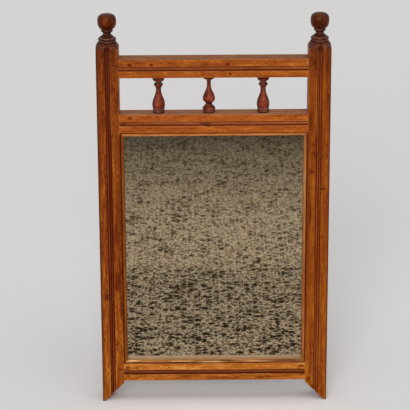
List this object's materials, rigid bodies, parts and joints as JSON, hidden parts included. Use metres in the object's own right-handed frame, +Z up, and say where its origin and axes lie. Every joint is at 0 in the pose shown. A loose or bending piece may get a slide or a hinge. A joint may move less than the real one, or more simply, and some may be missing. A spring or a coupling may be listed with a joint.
{
  "type": "framed mirror",
  "caption": "Wall mirror in a stained softwood frame with reeded posts, turned ball finials, a spindle gallery over the glass, mitred sight slips and swinging ring hangers behind.",
  "frame": {"origin": "on the floor line of the two foot toes, half way between the posts and half way through their depth", "axes": "+Z up along the posts, +X to the right as seen from the front, +Y from the glass towards the wall"},
  "size_m": [0.476, 0.046, 0.842],
  "materials": {
    "stained_pine": "stained and waxed",
    "turned_wood": "dark stain, waxed",
    "slip_pine": "light stain",
    "mirror_plate": "silvered, aged",
    "back_pine": "raw, aged",
    "brad_steel": "dull",
    "hanger_brass": "tarnished"
  },
  "bodies": {
    "frame": {"left_post": "stained_pine", "right_post": "stained_pine", "top_rail": "stained_pine", "gallery_rail": "stained_pine", "bottom_rail": "stained_pine", "left_finial": "turned_wood", "right_finial": "turned_wood", "spindle_left": "turned_wood", "spindle_centre": "turned_wood", "spindle_right": "turned_wood", "slip_bottom": "slip_pine", "slip_top": "slip_pine", "slip_left": "slip_pine", "slip_right": "slip_pine", "mirror_glass": "mirror_plate", "glass_fillet_bottom": "back_pine", "glass_fillet_top": "back_pine", "glass_fillet_left": "back_pine", "glass_fillet_right": "back_pine", "back_board_left": "back_pine", "back_board_centre": "back_pine", "back_board_right": "back_pine", "back_board_brads": "brad_steel", "hanger_strap_left": "hanger_brass", "hanger_strap_right": "hanger_brass", "hanger_screws": "hanger_brass"},
    "ring_left": {"hanger_ring_left": "hanger_brass"},
    "ring_right": {"hanger_ring_right": "hanger_brass"}
  },
  "joints": [
    {"name": "ring_left_swing", "type": "hinge", "parent": "frame", "child": "ring_left", "pos_m": [-0.15, 0.01975, 0.7415], "axis": [1, 0, 0], "range_deg": [0, 180]},
    {"name": "ring_right_swing", "type": "hinge", "parent": "frame", "child": "ring_right", "pos_m": [0.15, 0.01975, 0.7415], "axis": [1, 0, 0], "range_deg": [0, 180]}
  ]
}
